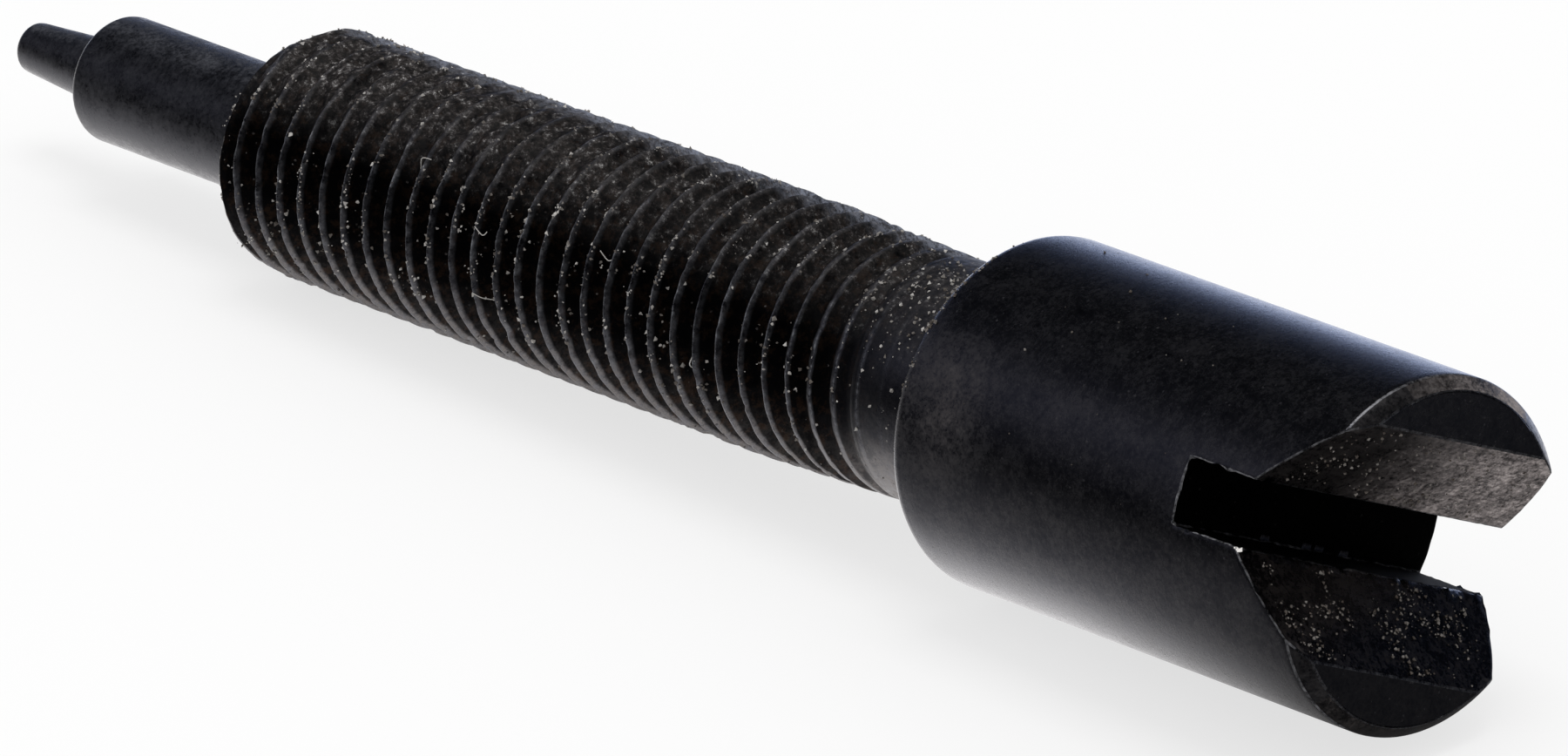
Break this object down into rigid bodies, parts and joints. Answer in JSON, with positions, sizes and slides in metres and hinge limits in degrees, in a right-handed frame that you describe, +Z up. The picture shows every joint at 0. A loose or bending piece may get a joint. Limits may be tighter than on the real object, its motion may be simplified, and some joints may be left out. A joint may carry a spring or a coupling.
{
  "type": "needle adjusting screw",
  "caption": "One-piece black steel adjusting screw: round head with a slotted V notch, fine thread, pilot shank and blunt needle tip.",
  "frame": {"origin": "centre of the footprint, on the surface that the screw lies on", "axes": "+X along the screw towards the slotted head, +Z up, +Y across"},
  "size_m": [0.047, 0.008, 0.0085],
  "materials": {
    "blackened_steel": "satin black-oxide steel, dusty in the thread"
  },
  "bodies": {
    "root": {"adjusting_screw": "blackened_steel"}
  },
  "joints": []
}
